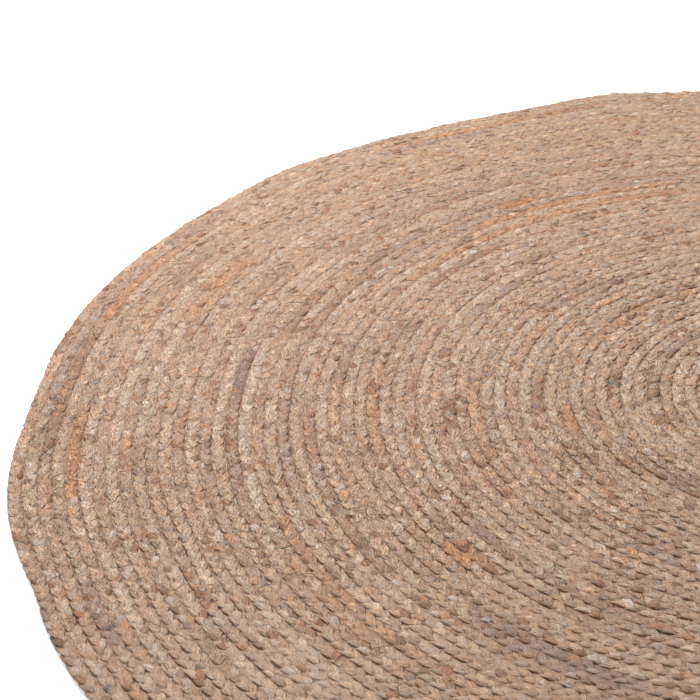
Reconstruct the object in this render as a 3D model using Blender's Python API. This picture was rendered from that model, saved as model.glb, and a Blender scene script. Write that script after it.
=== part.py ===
"""Round rug of flat jute braid. Two braids lie side by side and wind out from the middle in one coil,
sewn row to row, so the top is ribbed and the underside is flat. Metres, +Z up. The origin is the middle
of the coil, on the underside."""

from collections import namedtuple
from math import atan2, cos, degrees, exp, pi, radians, sin, tau

import bmesh
import bpy

RADIUS = 0.750  # middle of the coil to the mean line of the rim
BRAID_WIDTH = 0.750 / 63  # one braid, and so the step from row to row
BRAID_THICKNESS = 0.008
GROOVE_DEPTH = 0.0022  # crest of a row down to the sewn line beside it
SHOULDER_INSET = 0.0020  # where the rim's outer braid starts to round down, in from the rim
SHOULDER_DROP = 0.0018
FOOT_INSET = 0.0022  # the rim's underside, in from the rim
FIRST_END = radians(65)  # where the first braid ends on the rim; the second ends half a turn on
END_TAPER = radians(15)  # length of the narrowing end of a braid
RIM_SECTORS = 96  # the rows inside take half as many sectors, and the middle a quarter
RIM_ROWS = 2.0  # rows that keep all the sectors
HALF_RADIUS_ROWS = 33.0  # rows round the middle that take a quarter of the sectors
SWELL_FADE = 5.0  # how fast the rim's unevenness dies away towards the middle
MERGE_DISTANCE = 0.00005

# Where the rim stands out (+) or is drawn in (-). Angles run counter-clockwise from +X.
Swell = namedtuple("Swell", "angle_deg half_width_deg size")
RIM_SWELLS = (
    Swell(20, 9, 0.0030),
    Swell(47, 8, -0.0030),
    Swell(98, 5, 0.0110),
    Swell(111, 9, -0.0080),
    Swell(132, 6, 0.0070),
    Swell(158, 6, 0.0022),
    Swell(175, 6, -0.0045),
    Swell(189, 6, 0.0035),
    Swell(199, 4, -0.0030),
    Swell(228, 10, -0.0030),
    Swell(262, 9, 0.0040),
    Swell(290, 8, -0.0035),
    Swell(325, 10, 0.0030),
)


def clear_scene():
    for obj in list(bpy.data.objects):
        bpy.data.objects.remove(obj, do_unlink=True)


def swelling(angle):
    """How far the rim stands out of its coil at this angle."""
    total = 0.0
    for swell in RIM_SWELLS:
        apart = (degrees(angle) - swell.angle_deg + 180) % 360 - 180
        total += swell.size * exp(-((apart / swell.half_width_deg) ** 2))
    return total


def turn_radius(rows_out, wind):
    """Radius of the line that lies rows_out braids from the middle, wind radians past the first end."""
    return BRAID_WIDTH * (rows_out + wind / pi - 0.5)


def rim_radius(wind):
    """The rim widens by one braid in half a turn, and steps back where a braid tapers to its end."""
    since_end = wind % pi
    to_taper = max(0.0, 1 - (pi - since_end) / END_TAPER)
    step_back = to_taper * to_taper * (3 - 2 * to_taper)
    return RADIUS + BRAID_WIDTH * (since_end / pi - 0.5 - step_back)


def rib_profile():
    """Half-row points from the middle to the rim: a groove at each whole row, a crest between."""
    rows = round(RADIUS / BRAID_WIDTH)
    for half_row in range(-3, 2 * rows + 1):
        is_crest = half_row % 2 == 1
        yield half_row / 2, BRAID_THICKNESS - (0 if is_crest else GROOVE_DEPTH)


def place_point(rows_out, height, wind):
    """A point of the ribbed top, kept between the middle and the rim's shoulder."""
    radius = turn_radius(rows_out, wind)
    shoulder = rim_radius(wind) - SHOULDER_INSET
    if radius <= 0:
        radius, height = 0.0, BRAID_THICKNESS - GROOVE_DEPTH / 2
    elif radius >= shoulder:
        radius, height = shoulder, BRAID_THICKNESS - SHOULDER_DROP
    return radius, height


def uneven(radius, height, angle):
    stretched = radius + swelling(angle) * (radius / RADIUS) ** SWELL_FADE
    return stretched * cos(angle), stretched * sin(angle), height


def spun_disc(mesh):
    """Spins the profile once round, then moves every point out along the coil."""
    ribs = list(rib_profile())
    edge = [(0.0, BRAID_THICKNESS / 2), (FOOT_INSET, 0.0)]
    line = [mesh.verts.new((1 + index, 0, 0)) for index in range(len(ribs) + len(edge))]
    joins = [mesh.edges.new(pair) for pair in zip(line, line[1:])]
    spun = bmesh.ops.spin(
        mesh, geom=line + joins, axis=(0, 0, 1), cent=(0, 0, 0), angle=tau, steps=RIM_SECTORS
    )
    full_turn = {item for item in spun["geom_last"] if isinstance(item, bmesh.types.BMVert)}
    column = mesh.verts.layers.int.new("column")
    sector = mesh.verts.layers.int.new("sector")
    for vert in mesh.verts:
        vert[column] = round(vert.co.xy.length) - 1
        turn = atan2(vert.co.y, vert.co.x) / tau
        vert[sector] = RIM_SECTORS if vert in full_turn else round(turn * RIM_SECTORS) % RIM_SECTORS
    for vert in mesh.verts:
        wind = tau * vert[sector] / RIM_SECTORS
        if vert[column] < len(ribs):
            radius, height = place_point(*ribs[vert[column]], wind)
        else:
            inset, height = edge[vert[column] - len(ribs)]
            radius = rim_radius(wind) - inset
        vert.co = uneven(radius, height, wind + FIRST_END)
    return column, sector


def thin_sectors(mesh, column, sector, keep_every, columns):
    """Takes out the radial edges that the smaller circles inside don't need."""
    spare = [
        edge
        for edge in mesh.edges
        if edge.verts[0][sector] == edge.verts[1][sector]
        and edge.verts[0][sector] % keep_every
        and max(vert[column] for vert in edge.verts) <= columns
    ]
    bmesh.ops.dissolve_edges(mesh, edges=spare, use_verts=True)


def build_rug():
    mesh = bmesh.new()
    column, sector = spun_disc(mesh)
    rows = round(RADIUS / BRAID_WIDTH)
    thin_sectors(mesh, column, sector, 2, round(2 * (rows - RIM_ROWS)))
    thin_sectors(mesh, column, sector, 4, round(2 * HALF_RADIUS_ROWS))
    bmesh.ops.remove_doubles(mesh, verts=mesh.verts, dist=MERGE_DISTANCE)
    bmesh.ops.holes_fill(mesh, edges=[e for e in mesh.edges if e.is_boundary], sides=0)
    bmesh.ops.recalc_face_normals(mesh, faces=mesh.faces)
    data = bpy.data.meshes.new("braided_rug")
    mesh.to_mesh(data)
    mesh.free()
    return bpy.data.objects.new("braided_rug", data)


def jute():
    """Undyed jute: a dull warm tan with no gloss."""
    material = bpy.data.materials.new("undyed_jute")
    material.use_nodes = True
    shader = material.node_tree.nodes["Principled BSDF"]
    shader.inputs["Base Color"].default_value = (0.47, 0.31, 0.22, 1)
    shader.inputs["Roughness"].default_value = 0.95
    shader.inputs["Metallic"].default_value = 0.0
    return material


def main():
    clear_scene()
    collection = bpy.data.collections.new("round_jute_rug")
    bpy.context.scene.collection.children.link(collection)
    rug = build_rug()
    rug.data.materials.append(jute())
    collection.objects.link(rug)


main()
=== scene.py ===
from collections import namedtuple
from math import cos, pi, radians, sin, tau

import bmesh
import bpy
import numpy as np
from mathutils import Matrix, Vector


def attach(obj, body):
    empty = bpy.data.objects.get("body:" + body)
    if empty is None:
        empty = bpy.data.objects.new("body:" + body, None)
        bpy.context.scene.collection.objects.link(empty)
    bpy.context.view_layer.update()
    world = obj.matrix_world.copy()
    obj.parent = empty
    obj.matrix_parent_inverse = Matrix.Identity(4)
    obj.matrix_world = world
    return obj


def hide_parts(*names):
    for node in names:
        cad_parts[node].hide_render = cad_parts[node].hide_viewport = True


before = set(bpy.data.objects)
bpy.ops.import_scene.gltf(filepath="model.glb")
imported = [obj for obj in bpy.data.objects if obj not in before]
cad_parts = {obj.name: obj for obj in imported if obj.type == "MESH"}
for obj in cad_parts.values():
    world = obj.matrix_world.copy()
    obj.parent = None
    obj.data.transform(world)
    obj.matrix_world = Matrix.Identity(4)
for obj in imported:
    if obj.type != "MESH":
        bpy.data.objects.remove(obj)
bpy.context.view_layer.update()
print("frame loaded")

# the coil: two braids wound side by side, in metres and degrees
coil = {
    "radius": 0.750,  # middle of the coil to the mean line of the rim
    "rows": 63,
    "firstEndDeg": 65.0,  # where the second braid ends on the rim; the first ends half a turn on
    "endTaperDeg": 15.0,
    "swellFade": 5.0,  # how fast the rim's unevenness dies away towards the middle
    "drawnIn": 0.997,  # the rows are pressed together a little
    "endNarrow": 0.85,  # how much narrower a braid's end is
    "startTurns": 0.16,  # how far round a braid is where its strands start, in turns
    "samples": 60000,
}
coil["braidWidth"] = coil["radius"] / coil["rows"]

# where the rim stands out (+) or is drawn in (-)
RimSwell = namedtuple("RimSwell", "angleDeg halfWidthDeg size")
rimSwells = (
    RimSwell(20, 9, 0.0030),
    RimSwell(47, 8, -0.0030),
    RimSwell(98, 5, 0.0110),
    RimSwell(111, 9, -0.0080),
    RimSwell(132, 6, 0.0070),
    RimSwell(158, 6, 0.0022),
    RimSwell(175, 6, -0.0045),
    RimSwell(189, 6, 0.0035),
    RimSwell(199, 4, -0.0030),
    RimSwell(228, 10, -0.0030),
    RimSwell(262, 9, 0.0040),
    RimSwell(290, 8, -0.0035),
    RimSwell(325, 10, 0.0030),
)


def swelling(angle):
    total = np.zeros_like(angle)
    for swell in rimSwells:
        apart = (np.degrees(angle) - swell.angleDeg + 180) % 360 - 180
        total += swell.size * np.exp(-((apart / swell.halfWidthDeg) ** 2))
    return total


def eased(part):
    return part * part * (3 - 2 * part)


def wander(at, step, seed):  # a smooth random wander with a spread of about 1, one new value each step
    knots = np.random.default_rng(seed).normal(0, 1, int(at.max() / step) + 3)
    whole = np.floor(at / step).astype(int)
    ease = eased(at / step - whole)
    return knots[whole] * (1 - ease) + knots[whole + 1] * ease


def linearColour(hexText):  # sRGB hex to the linear numbers that shaders and attributes hold
    parts = [int(hexText[at : at + 2], 16) / 255 for at in (1, 3, 5)]
    return np.array([p / 12.92 if p <= 0.04045 else ((p + 0.055) / 1.055) ** 2.4 for p in parts])


# the camera: the photograph's angle, which takes in the left part of the rug
shot = {
    "place": (-0.4412, -1.4639, 0.9166),
    "pitchDown": 0.52173,
    "roll": -0.041066,
    "focalPixels": 1860.0,  # in a frame 700 pixels wide
    "framePixels": 700,
    "sparePixels": 30,  # the tubes are fine this far outside the picture
}


def viewAxes():
    c, s, p = cos(shot["roll"]), sin(shot["roll"]), shot["pitchDown"]
    level, down = np.array([1.0, 0, 0]), np.array([0, -sin(p), -cos(p)])
    return c * level - s * down, s * level + c * down, np.array([0, cos(p), -sin(p)])


def inFrame(points, margin):  # which points the camera sees, with some pixels to spare
    right, down, ahead = viewAxes()
    apart = points - np.array(shot["place"])
    depth = apart @ ahead
    reach = shot["framePixels"] / 2 + margin
    across = np.abs(apart @ right / depth) * shot["focalPixels"]
    upright = np.abs(apart @ down / depth) * shot["focalPixels"]
    return (across < reach) & (upright < reach)


right, down, ahead = viewAxes()
camera = bpy.data.objects.new("camera", bpy.data.cameras.new("camera"))
bpy.context.scene.collection.objects.link(camera)
camera.data.lens = shot["focalPixels"] / shot["framePixels"] * camera.data.sensor_width
camera.location = shot["place"]
turn = Matrix((right, -down, -ahead)).transposed()
camera.rotation_euler = turn.to_euler()
camera.data.clip_start, camera.data.clip_end = 0.05, 50
bpy.context.scene.camera = camera

# floor and light
studio = {
    "floorSize": 14.0,
    "floorColour": "#F7F7F7",
    "floorGlow": 0.5,  # as much light of its own as makes it the photograph's white
    "skyStrength": 0.25,
}

# soft boxes, in metres and watts
SoftBox = namedtuple("SoftBox", "name place aim size power")
softBoxes = (SoftBox("ceiling", (-0.6, 0.6, 1.15), (-0.4, 0.3, 0), 1.8, 32.4),)


def addNode(tree, kind, inputs, **settings):  # an input is a value or another node's output
    node = tree.nodes.new("ShaderNode" + kind)
    for name, value in settings.items():
        setattr(node, name, value)
    for socket, value in inputs.items():
        if isinstance(value, bpy.types.NodeSocket):
            tree.links.new(value, node.inputs[socket])
        else:
            node.inputs[socket].default_value = value
    return node.outputs


def newMaterial(name, **sockets):
    material = bpy.data.materials.new(name)
    material.use_nodes = True
    shader = material.node_tree.nodes["Principled BSDF"]
    for socket, value in sockets.items():
        shader.inputs[socket.replace("_", " ")].default_value = value
    return material, material.node_tree, shader


floorMesh = bmesh.new()
bmesh.ops.create_grid(floorMesh, x_segments=2, y_segments=2, size=studio["floorSize"] / 2)
floorData = bpy.data.meshes.new("floor")
floorMesh.to_mesh(floorData)
floorMesh.free()
floor = bpy.data.objects.new("floor", floorData)
bpy.context.scene.collection.objects.link(floor)
floorPaint = linearColour(studio["floorColour"])
floorMaterial, _, _ = newMaterial(
    "matt_white_paper",  # a studio paper sweep: plain, matt and nearly white
    Base_Color=(*floorPaint, 1),
    Roughness=1.0,
    Emission_Color=(1, 1, 1, 1),
    Emission_Strength=studio["floorGlow"],
)
floorData.materials.append(floorMaterial)

world = bpy.data.worlds.new("studio")
bpy.context.scene.world = world
world.use_nodes = True
world.node_tree.nodes["Background"].inputs["Color"].default_value = (1, 1, 1, 1)
world.node_tree.nodes["Background"].inputs["Strength"].default_value = studio["skyStrength"]
for box in softBoxes:
    lamp = bpy.data.lights.new(box.name, "AREA")
    lamp.size, lamp.energy = box.size, box.power
    held = bpy.data.objects.new(box.name, lamp)
    held.location = box.place
    held.rotation_euler = (Vector(box.aim) - held.location).to_track_quat("-Z", "Y").to_euler()
    bpy.context.scene.collection.objects.link(held)
bpy.context.scene.view_settings.view_transform = "Standard"
print("camera, floor and light set")

# the strands: sizes in metres, spreads and drifts as shares, unless a note says otherwise
strand = {
    "period": 0.0380,  # a strand is back on the same side after this much of the braid
    "periodDrift": 0.9,  # how far the braiding runs ahead or behind, in radians
    "driftStep": 0.35,
    "lobeFrom": 0.25,  # where a lobe starts, in half periods
    "halfWidth": 0.0037,
    "swing": 0.0042,  # how far a strand's middle goes to either side of the braid's
    "twistLength": 0.055,
    "middleHeight": 0.0047,
    "rise": 0.0010,  # how far it goes above and below that height
    "top": 0.0070,  # the height at which the camera's view of it is tested
    "plump": 0.10,  # fuller in the middle of each lobe
    "sizeSpread": 0.13,
    "sizeDrift": 0.05,
    "sizeStep": 0.05,
    "liftSpread": 0.0003,
    "liftDrift": 0.00018,
    "liftStep": 0.06,
    "shiftSpread": 0.0005,
    "slipSpread": 0.0014,
    "lean": 1.0,  # degrees: each lobe slopes down to its side of the braid
    "rollSpread": 6.0,  # degrees
    "mostSpread": 2.2,  # no lobe is further than this from the mean, in spreads
    "rowWander": 0.0005,
    "wanderStep": 0.045,
    "press": 6.0,  # how sharply a strand is pressed flat against the next row
    "rimRoom": 1.30,  # how much further it may stand out where there is no next row
    "shoulder": 0.02,  # how much lower the braid is beside the next row, as a share of its height
    "filledBack": 0.30,  # further back and to the left than this, loose fibres fill the grooves: flatter relief and less painted shade in them
    "filledFade": 0.35,
    "filledX": -0.35,
    "filledTurn": (-0.45, 0.9),  # which way that is, along x and y
    "leastOpen": 0.12,
    "flatShare": 0.35,  # how much of the relief is left there
    "deepX": -0.60,  # around this place the painted shade in the lines between the rows is darkest
    "deepY": -0.28,
    "deepReach": 0.16,
    "deepMore": 0.35,
    "lineDark": 0.75,  # how dark that painted shade is elsewhere on average
    "lineSpread": 0.4,
    "lineStep": 0.07,
    "lineLeast": 0.1,
    "lineMost": 1.4,
    "lobeLight": 0.09,
    "strandLight": 0.07,
    "lightStep": 0.07,
    "lightHue": (0.85, 1.0, 1.15),  # a lighter lobe is a little greyer
    "lobeTint": 0.11,
    "strandTint": 0.1,
    "tintStep": 0.2,
    "tintHue": (0.25, 0, -0.35),  # a tinted lobe is redder
    "lumpSpread": 0.08,
    "mostLump": 0.25,
}

# one number for each kind of random draw; braids and strands add to it
seeds = {
    "drift": 40,
    "wander": 60,
    "lift": 70,
    "size": 80,
    "lobes": 100,
    "light": 120,
    "tint": 140,
    "yarn": 160,
    "grooves": 200,
    "oddLobes": 500,
    "hairs": 900,
}

# sections across a strand, as shares of its half width, with how light each corner is drawn (painted shade
# on the low sides and the underside, a touch of painted light on top), and the places along half a period
# where it is measured, in degrees from the middle of its stretch underneath
fineTube = {
    "section": ((1.25, 0.1), (0.7, 0.42), (-0.7, 0.42), (-1.25, 0.1), (0, -0.8)),
    "light": (0.92, 1.02, 1.02, 0.92, 0.6),
    "steps": (0, 38, 66, 92, 118, 148),
}
coarseTube = {
    "section": ((1.25, 0.05), (0, 0.5), (-1.25, 0.05), (0, -0.8)),
    "light": (0.9, 1.04, 0.9, 0.6),
    "steps": (0, 60, 115),
}

yarn = {  # the colours of the spun jute, as lit
    "salmon": "#CCA88D",
    "tan": "#C7A88D",
    "straw": "#CDAD90",
    "pale": "#CFB399",
    "mauve": "#AA8C7E",
    "orange": "#C88E5C",
    "brown": "#8A6244",
    "rust": "#A06844",
    "bleached": "#DFCFBE",
    "charcoal": "#5E4E47",
    "teal": "#76807C",
}
colours = {name: linearColour(text) for name, text in yarn.items()}

braidYarns = (("salmon", "tan"), ("straw", "pale"))  # each braid goes to and fro between two yarns
yarnMix = {"spread": 0.35, "step": 0.5, "fade": 0.12}  # fade is a share of a stretch's length

# lobes spun from odd yarn: how often they come, and how much of their colour they show
OddLobe = namedtuple("OddLobe", "yarn chance share")
oddLobes = (
    OddLobe("brown", 0.045, 0.6),
    OddLobe("rust", 0.03, 0.7),
    OddLobe("orange", 0.04, 0.5),
    OddLobe("mauve", 0.045, 0.5),
    OddLobe("bleached", 0.06, 0.45),
)

# where a braid's yarn changes colour for a while: the turn is counted from the middle of the coil
ToneStretch = namedtuple("ToneStretch", "braid turn fromDeg toDeg yarn share")
toneStretches = (
    ToneStretch("a", 28, 92, 140, "brown", 0.12),
    ToneStretch("b", 27, 92, 140, "brown", 0.14),
    ToneStretch("a", 26, 92, 136, "brown", 0.12),
    ToneStretch("b", 24, 104, 148, "brown", 0.26),
    ToneStretch("a", 23, 100, 150, "brown", 0.28),
    ToneStretch("b", 22, 96, 150, "brown", 0.26),
    ToneStretch("a", 21, 96, 150, "brown", 0.20),
    ToneStretch("b", 27, 196, 226, "bleached", 0.22),
    ToneStretch("a", 26, 196, 230, "pale", 0.6),
    ToneStretch("b", 26, 196, 230, "bleached", 0.2),
    ToneStretch("a", 25, 196, 226, "pale", 0.6),
    ToneStretch("b", 25, 198, 226, "bleached", 0.2),
    ToneStretch("a", 9, 110, 178, "bleached", 0.22),
    ToneStretch("b", 8, 110, 200, "bleached", 0.22),
    ToneStretch("a", 7, 110, 230, "bleached", 0.25),
    ToneStretch("b", 6, 110, 230, "bleached", 0.25),
    ToneStretch("a", 5, 100, 240, "bleached", 0.25),
    ToneStretch("b", 17, 222, 245, "brown", 0.20),
    ToneStretch("a", 17, 222, 245, "brown", 0.20),
    ToneStretch("b", 15, 222, 245, "brown", 0.20),
    ToneStretch("a", 14, 222, 245, "brown", 0.20),
    ToneStretch("a", 31, 98, 122, "salmon", 0.6),
    ToneStretch("a", 30, 98, 122, "orange", 0.4),
    ToneStretch("a", 30, 165, 186, "brown", 0.45),
    ToneStretch("b", 31, 140, 166, "mauve", 0.5),
    ToneStretch("b", 30, 110, 126, "mauve", 0.5),
    ToneStretch("a", 29, 177, 191, "orange", 0.6),
    ToneStretch("b", 31, 162, 178, "mauve", 0.5),
    ToneStretch("a", 30, 148, 165, "orange", 0.4),
    ToneStretch("b", 30, 172, 200, "pale", 0.7),
    ToneStretch("b", 30, 199, 208, "mauve", 0.7),
    ToneStretch("b", 29, 148, 158, "brown", 0.35),
    ToneStretch("b", 29, 170, 216, "bleached", 0.25),
    ToneStretch("a", 28, 150, 216, "salmon", 0.7),
    ToneStretch("b", 28, 150, 186, "bleached", 0.3),
    ToneStretch("a", 27, 174, 216, "brown", 0.15),
    ToneStretch("b", 27, 148, 163, "orange", 0.5),
    ToneStretch("b", 27, 163, 183, "bleached", 0.27),
    ToneStretch("a", 26, 195, 216, "mauve", 0.2),
    ToneStretch("b", 26, 150, 171, "pale", 0.8),
    ToneStretch("b", 25, 147, 158, "brown", 0.35),
    ToneStretch("b", 25, 165, 195, "bleached", 0.2),
    ToneStretch("a", 24, 162, 216, "mauve", 0.2),
    ToneStretch("b", 24, 150, 201, "pale", 0.7),
    ToneStretch("b", 25, 95, 148, "mauve", 0.4),
    ToneStretch("a", 23, 165, 179, "mauve", 0.9),
    ToneStretch("a", 23, 165, 178, "charcoal", 0.17),
    ToneStretch("a", 23, 178, 202, "mauve", 0.5),
    ToneStretch("b", 23, 166, 198, "bleached", 0.38),
    ToneStretch("b", 23, 203, 220, "orange", 0.35),
    ToneStretch("a", 22, 150, 164, "brown", 0.3),
    ToneStretch("b", 22, 174, 204, "bleached", 0.22),
    ToneStretch("a", 21, 158, 196, "mauve", 0.3),
    ToneStretch("a", 20, 180, 189, "rust", 0.35),
    ToneStretch("a", 20, 188, 202, "mauve", 0.5),
    ToneStretch("a", 20, 202, 211, "brown", 0.5),
    ToneStretch("b", 22, 120, 146, "mauve", 0.5),
    ToneStretch("a", 22, 195, 226, "orange", 0.35),
    ToneStretch("b", 21, 92, 151, "mauve", 0.5),
    ToneStretch("a", 21, 117, 122, "orange", 0.9),
    ToneStretch("a", 21, 144, 159, "brown", 0.4),
    ToneStretch("a", 20, 95, 131, "orange", 0.5),
    ToneStretch("b", 20, 130, 135, "brown", 0.7),
    ToneStretch("a", 19, 92, 151, "orange", 0.45),
    ToneStretch("a", 19, 160, 173, "mauve", 0.6),
    ToneStretch("a", 19, 219, 241, "mauve", 0.8),
    ToneStretch("b", 20, 219, 241, "mauve", 0.7),
    ToneStretch("b", 19, 130, 151, "bleached", 0.27),
    ToneStretch("a", 18, 127, 147, "brown", 0.45),
    ToneStretch("b", 18, 154, 164, "mauve", 0.6),
    ToneStretch("b", 18, 165, 191, "orange", 0.45),
    ToneStretch("b", 18, 209, 217, "orange", 0.7),
    ToneStretch("a", 17, 209, 217, "orange", 0.7),
    ToneStretch("a", 16, 124, 133, "brown", 0.5),
    ToneStretch("a", 16, 204, 241, "mauve", 0.65),
    ToneStretch("b", 16, 90, 111, "mauve", 0.5),
    ToneStretch("a", 15, 130, 156, "mauve", 0.5),
    ToneStretch("b", 15, 175, 187, "rust", 0.45),
    ToneStretch("b", 14, 169, 201, "orange", 0.35),
    ToneStretch("b", 13, 124, 146, "mauve", 0.6),
    ToneStretch("b", 13, 224, 241, "mauve", 0.65),
    ToneStretch("a", 12, 117, 133, "mauve", 0.6),
    ToneStretch("a", 12, 214, 236, "mauve", 0.65),
    ToneStretch("b", 12, 160, 191, "pale", 0.7),
    ToneStretch("a", 11, 171, 183, "brown", 0.45),
    ToneStretch("a", 10, 107, 136, "mauve", 0.6),
    ToneStretch("b", 10, 110, 161, "orange", 0.45),
    ToneStretch("a", 10, 179, 191, "orange", 0.6),
    ToneStretch("b", 9, 204, 226, "mauve", 0.6),
    ToneStretch("a", 8, 204, 226, "mauve", 0.6),
    ToneStretch("a", 8, 161, 171, "brown", 0.7),
    ToneStretch("b", 7, 120, 160, "mauve", 0.5),
    ToneStretch("b", 7, 160, 181, "brown", 0.6),
    ToneStretch("b", 7, 187, 196, "brown", 0.6),
)

# small spots of other yarn, with their places in metres
Fleck = namedtuple("Fleck", "x y size yarn share")
flecks = (
    Fleck(-0.620, -0.377, 0.006, "brown", 0.9),
    Fleck(-0.635, -0.377, 0.004, "charcoal", 0.8),
    Fleck(-0.642, -0.304, 0.004, "charcoal", 0.8),
    Fleck(-0.718, -0.222, 0.004, "charcoal", 0.7),
    Fleck(-0.682, -0.317, 0.005, "brown", 0.8),
    Fleck(-0.652, -0.295, 0.005, "brown", 0.8),
    Fleck(-0.223, -0.307, 0.004, "charcoal", 0.8),
    Fleck(-0.223, -0.335, 0.004, "charcoal", 0.8),
    Fleck(-0.256, -0.310, 0.004, "rust", 0.8),
    Fleck(-0.211, -0.316, 0.004, "rust", 0.8),
    Fleck(-0.348, 0.001, 0.009, "rust", 0.7),
    Fleck(-0.634, -0.182, 0.005, "rust", 1.0),
    Fleck(-0.638, -0.042, 0.011, "orange", 0.35),
    Fleck(-0.690, -0.021, 0.007, "brown", 0.7),
    Fleck(-0.705, -0.114, 0.005, "charcoal", 0.8),
    Fleck(-0.195, 0.037, 0.006, "teal", 0.9),
    Fleck(-0.238, 0.696, 0.006, "rust", 0.8),
)


def coilLine(braid, fromTurns):  # the middle line of one braid, finely stepped
    wind = np.linspace(tau * fromTurns, coil["rows"] * pi, coil["samples"])
    angle = wind + radians(coil["firstEndDeg"]) + braid * pi
    toEnd = (coil["rows"] * pi - wind) / radians(coil["endTaperDeg"])
    stepBack = eased(np.clip(1 - toEnd, 0, 1))  # a braid's end draws in over the row before
    radius = coil["braidWidth"] * coil["drawnIn"] * (wind / pi - stepBack / 2)
    radius += swelling(angle) * (radius / coil["radius"]) ** coil["swellFade"]
    x, y = radius * np.cos(angle), radius * np.sin(angle)
    along = np.concatenate(([0], np.cumsum(np.hypot(np.diff(x), np.diff(y)))))
    drift = strand["periodDrift"] * wander(along, strand["driftStep"], seeds["drift"] + braid)
    phase = tau * along / strand["period"] + drift
    return {
        "wind": wind,
        "angle": angle,
        "radius": radius,
        "along": along,
        "phase": phase,
        "narrow": 1 - stepBack * coil["endNarrow"],
    }


def openGrooves(x, y):  # 1 where the grooves lie open, less where loose fibres fill them; it flattens the relief and lessens the painted groove shade
    leftward, backward = strand["filledTurn"]
    back = backward * y + leftward * (x - strand["filledX"])
    return np.clip((strand["filledBack"] - back) / strand["filledFade"], strand["leastOpen"], 1)


def groovesAlong(braid, along, x, y):  # how dark the painted shade in the grooves beside a braid is, which varies
    apart = np.hypot(x - strand["deepX"], y - strand["deepY"])
    lined = strand["lineSpread"] * wander(along, strand["lineStep"], seeds["grooves"] + braid)
    lined = np.clip(strand["lineDark"] + lined, strand["lineLeast"], strand["lineMost"])
    lined = lined if x.ndim == 1 else lined[:, None]
    return lined + strand["deepMore"] * np.exp(-((apart / strand["deepReach"]) ** 2))


def rowColour(braid, wind, along):  # a braid's colour along its length
    first, second = (colours[name] for name in braidYarns[braid])
    mix = yarnMix["spread"] * wander(along, yarnMix["step"], seeds["yarn"] + braid)
    mix = np.clip(0.5 + mix, 0, 1)[:, None]
    tone = first * (1 - mix) + second * mix
    wound = np.degrees(wind)
    for stretch in toneStretches:
        if stretch.braid == "ab"[braid]:
            start = 360 * stretch.turn + stretch.fromDeg - coil["firstEndDeg"] - 180 * braid
            length = stretch.toDeg - stretch.fromDeg
            fade = yarnMix["fade"] * length
            share = np.clip((wound - start) / fade, 0, 1) * np.clip((start + length - wound) / fade, 0, 1)
            share = (stretch.share * share)[:, None]
            tone = tone * (1 - share) + colours[stretch.yarn] * share
    return tone


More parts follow.
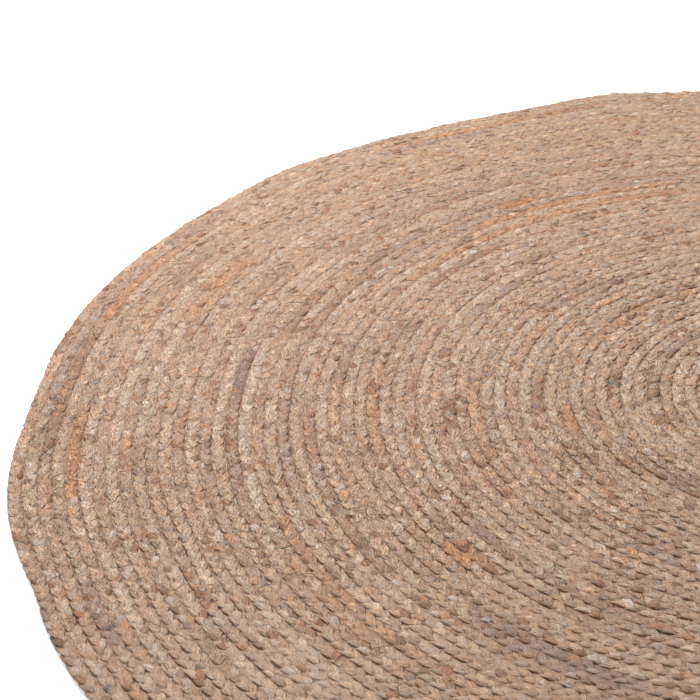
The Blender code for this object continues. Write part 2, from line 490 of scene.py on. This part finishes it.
def strandLine(braid, number):  # every sample of one strand, and the runs of fine and coarse tube
    line = coilLine(braid, coil["startTurns"])
    lead = tau * number / 3
    own = 10 * braid + number  # what this strand adds to the seeds
    start = strand["lobeFrom"]
    begin, end = ((line["phase"][at] + lead - start * pi) / pi for at in (0, -1))
    halves = np.arange(np.ceil(begin), np.floor(end))  # each half period holds one lobe

    def alongAt(phase):
        return np.interp(phase - lead, line["phase"], line["along"])

    def lineAt(along, *keys):
        return [np.interp(along, line["along"], line[key]) for key in keys]

    angle, radius = lineAt(alongAt((halves + start + 0.5) * pi), "angle", "radius")
    x, y = radius * np.cos(angle), radius * np.sin(angle)
    fine = inFrame(np.stack([x, y, np.full(len(halves), strand["top"])], 1), shot["sparePixels"])
    cuts = np.flatnonzero(np.diff(fine)) + 1
    runs = []
    phases = []
    for part in np.split(np.arange(len(halves)), cuts):
        isFine = bool(fine[part[0]])
        steps = np.radians((fineTube if isFine else coarseTube)["steps"])
        run = ((halves[part] + start) * pi)[:, None] + steps[None, :]
        run = np.append(run.ravel(), (halves[part[-1]] + start + 1) * pi)
        phases.append(run)
        runs.append((isFine, len(run)))
    phase = np.concatenate(phases)
    lobe = np.floor((phase - start * pi) / pi + 1e-9).astype(int) - int(halves[0])
    spreads = np.random.default_rng(seeds["lobes"] + own).normal(0, 1, (7, len(halves) + 3))
    spreads = np.clip(spreads, -strand["mostSpread"], strand["mostSpread"])
    slip, shift, lift, swell, lit, tinted, rolled = (values[lobe] for values in spreads)
    pick = np.random.default_rng(seeds["oddLobes"] + own).random(len(halves) + 3)
    window = np.sin(phase - start * pi) ** 2  # 0 where one lobe ends and the next begins
    along = alongAt(phase) + strand["slipSpread"] * slip * window
    narrow, angle, radius, wind = lineAt(along, "narrow", "angle", "radius", "wind")
    grooves = openGrooves(radius * np.cos(angle), radius * np.sin(angle))
    relief = strand["flatShare"] + (1 - strand["flatShare"]) * grooves
    sway = strand["rowWander"] * wander(along, strand["wanderStep"], seeds["wander"] + braid)
    side = strand["swing"] * np.sin(phase) + strand["shiftSpread"] * shift * window
    side = side * narrow + sway
    rise = -strand["rise"] * np.sin(2 * phase) + strand["liftSpread"] * lift * window
    rise += strand["liftDrift"] * wander(along, strand["liftStep"], seeds["lift"] + braid)
    size = 1 + strand["plump"] * np.cos(4 * (phase - (start + 0.5) * pi))
    size *= 1 + strand["sizeSpread"] * swell * window
    size *= 1 + strand["sizeDrift"] * wander(along, strand["sizeStep"], seeds["size"] + own)
    x, y = (radius + side) * np.cos(angle), (radius + side) * np.sin(angle)
    z = strand["middleHeight"] + rise * narrow * relief
    light = strand["lobeLight"] * lit
    light += strand["strandLight"] * wander(along, strand["lightStep"], seeds["light"] + own)
    tint = strand["lobeTint"] * tinted
    tint += strand["strandTint"] * wander(along, strand["tintStep"], seeds["tint"] + own)
    tone = rowColour(braid, wind, along)
    for odd in oddLobes:
        chosen = (pick >= 0) & (pick < odd.chance)
        pick = pick - odd.chance
        share = (odd.share * chosen[lobe])[:, None]
        tone = tone * (1 - share) + colours[odd.yarn] * share
    for fleck in flecks:
        apart = np.hypot(x - fleck.x, y - fleck.y)
        share = (fleck.share * np.exp(-((apart / fleck.size) ** 4)))[:, None]
        tone = tone * (1 - share) + colours[fleck.yarn] * share
    tone = tone * (1 + light[:, None] * np.array(strand["lightHue"]))
    tone = tone * (1 + tint[:, None] * np.array(strand["tintHue"]))
    roll = radians(strand["lean"]) * np.sin(phase) + radians(strand["rollSpread"]) * rolled * window
    return {
        "runs": runs,
        "place": np.stack([x, y, z, np.ones(len(phase))], 1),
        "size": size * narrow,
        "roll": roll,
        "tone": tone,
        "along": along,
        "rowRadius": radius + sway,
        # how much painted shade the grooves get, carried in the alpha of tone
        "grooves": grooves * groovesAlong(braid, along, x, y),
        "atRim": wind > (coil["rows"] - 1) * pi,
    }


def sectionCurve(tube):
    data = bpy.data.curves.new("section", "CURVE")
    data.dimensions, data.fill_mode = "2D", "NONE"
    outline = data.splines.new("POLY")
    outline.points.add(len(tube["section"]) - 1)
    for point, (x, y) in zip(outline.points, tube["section"]):
        point.co = (x * strand["halfWidth"], y * strand["halfWidth"], 0, 1)
    outline.use_cyclic_u = True
    section = bpy.data.objects.new("section", data)
    bpy.context.scene.collection.objects.link(section)
    return section


def pressed(corners, rowRadius, atRim):  # keeps each row to its own width; the rim has none to press it
    reach = coil["braidWidth"] * coil["drawnIn"] / 2
    out = np.hypot(corners[:, :, 0], corners[:, :, 1])
    side = (out - rowRadius) / reach
    free = atRim & (side > 0)
    room = np.where(free, strand["rimRoom"], 1)
    side = side / (1 + np.abs(side / room) ** strand["press"]) ** (1 / strand["press"])
    turn = (rowRadius + side * reach) / out
    edge = np.where(free, 0, np.abs(side))
    return corners * np.stack([turn, turn, 1 - strand["shoulder"] * edge**5], 2), edge


def writeAttributes(mesh, tone, inYarn, edge):  # what the material reads; the alpha of tone is how much painted shade the grooves get
    mesh.attributes.new("tone", "FLOAT_COLOR", "POINT").data.foreach_set("color", tone.ravel())
    mesh.attributes.new("inYarn", "FLOAT_VECTOR", "POINT").data.foreach_set("vector", inYarn.ravel())
    mesh.attributes.new("edge", "FLOAT", "POINT").data.foreach_set("value", edge.ravel())


def tubeMesh(tube, runs):  # one tube along each run, with its tone and its place in the yarn at each point
    data = bpy.data.curves.new("tube", "CURVE")
    data.dimensions, data.twist_mode, data.bevel_mode = "3D", "Z_UP", "OBJECT"
    data.use_fill_caps = True
    section = sectionCurve(tube)
    data.bevel_object = section
    for run in runs:
        path = data.splines.new("POLY")
        path.points.add(len(run["place"]) - 1)
        path.points.foreach_set("co", run["place"].ravel())
        path.points.foreach_set("radius", run["size"])
        path.points.foreach_set("tilt", run["roll"])
    tubes = bpy.data.objects.new("tube", data)
    bpy.context.scene.collection.objects.link(tubes)
    bpy.context.view_layer.update()
    mesh = bpy.data.meshes.new_from_object(tubes.evaluated_get(bpy.context.evaluated_depsgraph_get()))
    bpy.data.objects.remove(tubes, do_unlink=True)
    bpy.data.objects.remove(section, do_unlink=True)
    # a curve's mesh has the end caps first, last run first, and then the rings in the runs' order
    ends = np.cumsum([len(run["size"]) for run in runs])
    begins = np.concatenate(([0], ends[:-1]))
    caps = [ring for end, begin in zip(ends[::-1], begins[::-1]) for ring in (end - 1, begin)]
    rings = np.concatenate((caps, np.arange(ends[-1]))).astype(int)
    sides = len(tube["section"])
    centres = np.concatenate([run["place"][:, :3] for run in runs])
    lumps = np.random.default_rng(len(centres)).normal(1, strand["lumpSpread"], (len(centres), sides, 1))
    lumps = np.clip(lumps, 1 - strand["mostLump"], 1 + strand["mostLump"])
    corners = np.empty(len(mesh.vertices) * 3)
    mesh.vertices.foreach_get("co", corners)
    apart = corners.reshape(-1, sides, 3) - centres[rings][:, None, :]
    corners = centres[rings][:, None, :] + apart * lumps[rings]
    rowRadius, atRim, grooves, along, tone = (
        np.concatenate([run[key] for run in runs])[rings][:, None]
        for key in ("rowRadius", "atRim", "grooves", "along", "tone")
    )
    corners, edge = pressed(corners, rowRadius, atRim)
    corners[:, :, 2] = np.maximum(corners[:, :, 2], 0)
    mesh.vertices.foreach_set("co", corners.ravel())
    # painted light and shade: each corner's tone is scaled by its share in the tube's light
    tone = tone * np.array(tube["light"])[None, :, None]
    twist = tau * along / strand["twistLength"]
    x, y = np.array(tube["section"]).T[:, None, :] * strand["halfWidth"]
    across, upward = x * np.cos(twist) - y * np.sin(twist), x * np.sin(twist) + y * np.cos(twist)
    inYarn = np.stack([np.repeat(along, sides, 1), across, upward], 2)
    # the alpha of tone carries the painted groove shade
    writeAttributes(mesh, np.dstack((tone, np.repeat(grooves, sides, 1))), inYarn, edge)
    return mesh


# the material, with sizes in metres and colours as linear factors on the yarn's own
streaks = {
    "length": 0.009,  # of fine fibres
    "width": 0.0010,
    "fineFrom": 0.30,  # this much of the noise and less is dark, fineTo and more is light
    "fineTo": 0.62,
    "bundleLength": 0.011,
    "bundleWidth": 0.0025,
    "parting": 0.16,  # how wide the gap between two bundles is, as a share of a bundle
    "bundleLeast": 0.25,  # how light the darkest bundle is
    "bundleShare": 0.45,
    "dark": (0.80, 0.70, 0.61),  # dark fibres are warmer, pale ones are greyer
    "light": (1.09, 1.13, 1.18),
    "hueFrom": 0.30,
    "hueTo": 0.70,
    "warm": (1.08, 0.98, 0.86),
    "cool": (0.96, 1.01, 1.08),
    "speckSize": 0.0013,
    "speckFrom": 0.355,
    "speckTo": 0.395,
    "speckDark": (0.38, 0.23, 0.13),
    "frontSpecks": 0.2,  # how strong the specks are at speckFront, along y; they are whole at speckBack
    "speckFront": -0.45,
    "speckBack": -0.10,
    "bitLength": 0.0032,
    "bitWidth": 0.0011,
    "bitDark": (0.52, 0.36, 0.25),
    "bitPaleAndGlint": (1.34, 1.49, 1.64),
    "sharpY": -0.08,  # the bits stand out most here and fade towards the front and the back
    "sharpMost": 1.05,
    "backFade": 1.0,  # for each metre
    "frontFade": 1.9,
    "ragged": 0.16,
    "grooveFrom": 0.95,  # as a share of the way from the middle of a row to its groove
    "grooveTo": 1.0,
    "grooveDark": 0.6,
    "openHeight": 0.0061,  # whatever lies lower than this gets painted shade, down to lowHeight
    "lowHeight": 0.0054,
    "lowDark": 0.4,
    # the warm brown of the painted shade in the grooves and low places
    "paintedShade": (0.38, 0.20, 0.11),
    "frontShade": 0.83,  # painted shade: the yarn is drawn up to 17 % darker at the front
    "shadeFront": -0.44,
    "shadeBack": -0.24,
    "relief": 1.0,
    "frontRelief": 0.55,  # the lobes are smoother there
    "reliefFront": -0.42,
    "reliefBack": -0.20,
    "reliefDepth": 0.0005,
    "tangleRelief": 2.0,
}


def juteMaterial(name, streaks):
    # Undyed spun jute: long dull fibres laid side by side. The eye sees fine light and dark lines along
    # each lobe, no gloss but a faint silkiness, and warm shadow, painted into the colour, where the fibres
    # shade each other.
    material, tree, shader = newMaterial(name, Roughness=0.5, Specular_IOR_Level=0.5)
    white = (1, 1, 1, 1)

    def maths(operation, *values, clamp=False):
        made = addNode(tree, "Math", dict(enumerate(values)), operation=operation, use_clamp=clamp)
        return made["Value"]

    def multiplied(first, second):  # two colours
        return addNode(tree, "VectorMath", {0: first, 1: second}, operation="MULTIPLY")["Vector"]

    def ranged(value, low, high, toLow=0.0, toHigh=1.0):
        return addNode(tree, "MapRange", {0: value, 1: low, 2: high, 3: toLow, 4: toHigh})["Result"]

    def blended(share, first, second):  # two colours
        return addNode(tree, "Mix", {0: share, 6: first, 7: second}, data_type="RGBA")[2]

    def stretched(length, width):
        scale = (1 / length, 1 / width, 1 / width)
        return addNode(tree, "Mapping", {"Vector": place, "Scale": scale})["Vector"]

    def noise(vector, scale, detail, roughness, distortion=0.0):
        inputs = {"Vector": vector, "Scale": scale, "Detail": detail}
        inputs.update({"Roughness": roughness, "Distortion": distortion})
        return addNode(tree, "TexNoise", inputs)["Fac"]

    def cells(vector, feature="F1"):
        return addNode(tree, "TexVoronoi", {"Vector": vector, "Scale": 1.0}, feature=feature)

    def separated(colour):
        return addNode(tree, "SeparateColor", {"Color": colour})

    tone = addNode(tree, "Attribute", {}, attribute_name="tone")
    place = addNode(tree, "Attribute", {}, attribute_name="inYarn")["Vector"]
    edge = addNode(tree, "Attribute", {}, attribute_name="edge")["Fac"]
    where = addNode(tree, "SeparateXYZ", {"Vector": addNode(tree, "TexCoord", {})["Object"]})

    # fine fibres, gathered in bundles with partings between them
    fineStretch = stretched(streaks["length"], streaks["width"])
    fibres = noise(fineStretch, scale=1.0, detail=2.0, roughness=0.6)
    bundleStretch = stretched(streaks["bundleLength"], streaks["bundleWidth"])
    parted = ranged(cells(bundleStretch, "DISTANCE_TO_EDGE")["Distance"], 0.0, streaks["parting"])
    bundle = separated(cells(bundleStretch)["Color"])
    fine = maths("MULTIPLY", ranged(fibres, streaks["fineFrom"], streaks["fineTo"]), parted)
    body = ranged(bundle["Red"], 0.0, 1.0, streaks["bundleLeast"])
    shade = addNode(tree, "Mix", {0: streaks["bundleShare"], 2: fine, 3: body}, data_type="FLOAT")[0]
    colour = multiplied(tone["Color"], blended(shade, (*streaks["dark"], 1), (*streaks["light"], 1)))

    # warmer and cooler fibres
    hues = noise(fineStretch, scale=0.8, detail=1.0, roughness=0.7, distortion=0.4)
    hues = ranged(hues, streaks["hueFrom"], streaks["hueTo"], -0.5, 0.5)
    warmth = maths("ADD", hues, bundle["Green"], clamp=True)
    colour = multiplied(colour, blended(warmth, (*streaks["warm"], 1), (*streaks["cool"], 1)))

    # dark specks in the tangle, partly dark fibres and partly painted shade in the small pits between
    # them; they give way to long streaks towards the front
    tangle = noise(place, scale=1 / streaks["speckSize"], detail=1.0, roughness=0.6)
    specks = ranged(tangle, streaks["speckFrom"], streaks["speckTo"])
    specks = blended(specks, (*streaks["speckDark"], 1), white)
    speckShare = ranged(where["Y"], streaks["speckFront"], streaks["speckBack"], streaks["frontSpecks"])
    colour = multiplied(colour, blended(speckShare, white, specks))

    # short bits of single fibres, most of them near the yarn's own tone; the bright whitish ones are
    # partly pale fibres and partly painted glints
    bits = separated(cells(stretched(streaks["bitLength"], streaks["bitWidth"]))["Color"])
    bits = maths("POWER", ranged(bits["Red"], 0.0, 1.0, -1.0), 3.0)
    bits = blended(ranged(bits, -1.0, 1.0), (*streaks["bitDark"], 1), (*streaks["bitPaleAndGlint"], 1))
    beyond = maths("SUBTRACT", where["Y"], streaks["sharpY"])
    toBack = maths("MULTIPLY_ADD", beyond, -streaks["backFade"], streaks["sharpMost"])
    toFront = maths("MULTIPLY_ADD", beyond, streaks["frontFade"], streaks["sharpMost"])
    sharp = maths("MINIMUM", toBack, toFront, clamp=True)
    colour = multiplied(colour, blended(sharp, white, bits))

    # painted shade: the grooves between rows, and whatever lies low between lobes, are drawn darker and
    # warmer with a ragged edge
    ragged = maths("MULTIPLY_ADD", tangle, streaks["ragged"], edge)
    groove = ranged(ragged, streaks["grooveFrom"], streaks["grooveTo"], 0.0, streaks["grooveDark"])
    sunken = ranged(where["Z"], streaks["openHeight"], streaks["lowHeight"], 0.0, streaks["lowDark"])
    shadow = maths("MULTIPLY", maths("MAXIMUM", groove, sunken), tone["Alpha"])
    colour = multiplied(colour, blended(shadow, white, (*streaks["paintedShade"], 1)))
    # painted shade towards the front
    darker = ranged(where["Y"], streaks["shadeFront"], streaks["shadeBack"], streaks["frontShade"])
    colour = addNode(tree, "VectorMath", {0: colour, "Scale": darker}, operation="SCALE")["Vector"]
    tree.links.new(colour, shader.inputs["Base Color"])

    height = maths("MULTIPLY_ADD", tangle, streaks["tangleRelief"], maths("ADD", parted, fibres))
    smoother, rougher = streaks["frontRelief"], streaks["relief"]
    relief = ranged(where["Y"], streaks["reliefFront"], streaks["reliefBack"], smoother, rougher)
    inputs = {"Strength": relief, "Distance": streaks["reliefDepth"], "Height": height}
    tree.links.new(addNode(tree, "Bump", inputs)["Normal"], shader.inputs["Normal"])
    return material


jute = juteMaterial("undyed_spun_jute", streaks)


def finishPiece(name, meshes, material, smooth=True):
    joined = bmesh.new()
    for mesh in meshes:
        joined.from_mesh(mesh)
        bpy.data.meshes.remove(mesh)
    bmesh.ops.remove_doubles(joined, verts=joined.verts, dist=1e-6)
    bmesh.ops.recalc_face_normals(joined, faces=joined.faces)
    for face in joined.faces:
        face.smooth = smooth and len(face.verts) == 4
    data = bpy.data.meshes.new(name)
    joined.to_mesh(data)
    joined.free()
    data.materials.append(material)
    piece = bpy.data.objects.new(name, data)
    bpy.context.scene.collection.objects.link(piece)
    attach(piece, "root")
    triangles = sum(len(face.vertices) - 2 for face in data.polygons)
    print(name, triangles, "triangles")
    return piece


for braid, letter in enumerate("ab"):
    for number in range(3):
        line = strandLine(braid, number)
        cuts = np.cumsum([count for isFine, count in line["runs"]])[:-1]
        parts = {key: np.split(line[key], cuts) for key in line if key != "runs"}
        runs = [{key: parts[key][at] for key in parts} for at in range(len(line["runs"]))]
        meshes = []
        for wanted, tube in ((True, fineTube), (False, coarseTube)):
            chosen = [run for run, (isFine, count) in zip(runs, line["runs"]) if isFine == wanted]
            meshes.append(tubeMesh(tube, chosen))
        piece = finishPiece("braid_%s_strand_%d" % (letter, number + 1), meshes, jute)
        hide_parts("braided_rug")

hairs = {
    "tries": 6800,  # places drawn over the whole rug
    "keptUnseen": 0.12,  # how many of those that the photograph doesn't show are kept
    "shortest": 0.006,
    "longest": 0.026,
    "halfWidth": 0.00026,
    "height": 0.0064,  # of its ends; the middle lies a little higher
    "arch": 0.0010,
    "archFrom": 0.5,  # as a share of that
    "archTo": 1.3,
    "spread": 0.9,  # how far it points away from its row, in radians
    "curl": 0.7,
    "wiggle": 0.25,
    "points": 4,
    "rootGap": 0.008,  # how far its start and the rest of it stay inside the rim
    "tipGap": 0.004,
    "sparePixels": 10,
}
hairTube = {"section": ((1, 0), (-0.5, 0.87), (-0.5, -0.87)), "light": (1.0, 1.0, 1.0)}
HairYarn = namedtuple("HairYarn", "yarn chance")
hairYarns = (
    HairYarn("bleached", 0.40),
    HairYarn("salmon", 0.15),
    HairYarn("orange", 0.20),
    HairYarn("brown", 0.20),
    HairYarn("charcoal", 0.05),
)


def hairRuns():  # loose fibres that stand out of the braids and lie over them
    random = np.random.default_rng(seeds["hairs"])
    bounds = np.cumsum([yarn.chance for yarn in hairYarns])
    part = np.linspace(0, 1, hairs["points"])
    plain = np.ones(len(part))
    size = hairs["halfWidth"] / strand["halfWidth"] * np.where((part > 0) & (part < 1), 1, 0.5)
    runs = []
    for attempt in range(hairs["tries"]):
        radius = (coil["radius"] - hairs["rootGap"]) * random.random() ** 0.5
        angle = tau * random.random()
        length = hairs["shortest"] + (hairs["longest"] - hairs["shortest"]) * random.random() ** 2
        heading = angle + pi / 2 + hairs["spread"] * random.normal()
        curl, kept, lot = hairs["curl"] * random.normal(), random.random(), random.random()
        start = np.array([radius * cos(angle), radius * sin(angle), hairs["height"]])
        if kept > hairs["keptUnseen"] and not inFrame(start[None, :], hairs["sparePixels"])[0]:
            continue
        way = heading + curl * part + hairs["wiggle"] * random.normal(0, 1, len(part))
        step = length / (len(part) - 1)
        x = start[0] + np.concatenate(([0], np.cumsum(step * np.cos(way[:-1]))))
        y = start[1] + np.concatenate(([0], np.cumsum(step * np.sin(way[:-1]))))
        arch = (1 - (2 * part - 1) ** 2) * random.uniform(hairs["archFrom"], hairs["archTo"])
        chosen = hairYarns[min(int(np.searchsorted(bounds, lot)), len(hairYarns) - 1)]
        out = np.hypot(x, y)
        if out.max() > coil["radius"] - hairs["tipGap"]:
            continue
        runs.append(
            {
                "place": np.column_stack((x, y, hairs["height"] + hairs["arch"] * arch, plain)),
                "size": size,
                "roll": 0 * plain,
                "tone": colours[chosen.yarn] * plain[:, None],
                "along": part * length + random.random(),
                "rowRadius": out,
                "grooves": 0 * plain,
                "atRim": plain == 0,
            }
        )
    return runs


loose = hairRuns()
print(len(loose), "loose fibres")
hairPiece = finishPiece("stray_fibres", [tubeMesh(hairTube, loose)], jute)
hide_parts("braided_rug")

# the jute inside each braid, in metres: a low ridge under the strands, with its edges in the grooves
inner = {
    "bottom": 0.0028,
    "edge": 0.0058,
    "middle": 0.0062,
    "overlap": 0.0009,  # the ridges run into each other, so that no light comes through
    "backRise": 0.0004,  # the grooves are filled higher towards the back
    "inset": 0.0050,  # how far it stays inside the rim
    "rings": 2050,
    "ringPower": 2 / 3,  # under 1 a turn has more rings towards the rim
    # painted shade: the ridge is drawn a little darker than its row's yarn, as it lies under the strands
    "shade": 0.92,
}


def innerBraid(braid):
    line = coilLine(braid, 0)
    wind = line["wind"][-1] * np.linspace(0, 1, inner["rings"]) ** inner["ringPower"]
    along, angle, radius, narrow = (
        np.interp(wind, line["wind"], line[key]) for key in ("along", "angle", "radius", "narrow")
    )
    radius = radius + strand["rowWander"] * wander(along, strand["wanderStep"], seeds["wander"] + braid)
    reach = (coil["braidWidth"] * coil["drawnIn"] / 2 + inner["overlap"]) * narrow
    outer = np.where(wind > (coil["rows"] - 1) * pi, reach - inner["inset"], reach)
    across = np.stack([-reach, -reach, np.zeros(len(along)), outer, outer], 1)
    height = np.array([inner[key] for key in ("bottom", "edge", "middle", "edge", "bottom")])
    edge = np.array([1.0, 1, 0, 1, 1])  # 1 down in the groove, 0 on the ridge
    out = radius[:, None] + across
    x, y = out * np.cos(angle)[:, None], out * np.sin(angle)[:, None]
    z = height[None, :] + inner["backRise"] * np.clip(y / coil["radius"], 0, 1)
    rings, sides = x.shape
    faces = [tuple(range(sides)), tuple(range((rings - 1) * sides, rings * sides))]
    for at in range(0, (rings - 1) * sides, sides):
        for side in range(sides):
            after = (side + 1) % sides
            faces.append((at + side, at + after, at + sides + after, at + sides + side))
    mesh = bpy.data.meshes.new("inner")
    mesh.from_pydata(np.stack([x, y, z], 2).reshape(-1, 3).tolist(), [], faces)
    tone = np.empty((rings, sides, 4))
    # the ridge's tone with its painted shade, and in the alpha how much painted shade its grooves get
    tone[:, :, :3] = (rowColour(braid, wind, along) * inner["shade"])[:, None, :]
    tone[:, :, 3] = openGrooves(x, y) * groovesAlong(braid, along, x, y)
    inYarn = np.stack([np.repeat(along[:, None], sides, 1), across, z], 2)
    writeAttributes(mesh, tone, inYarn, np.tile(edge, (rings, 1)))
    return mesh


innerPiece = finishPiece("inner_jute", [innerBraid(0), innerBraid(1)], jute, smooth=False)
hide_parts("braided_rug")
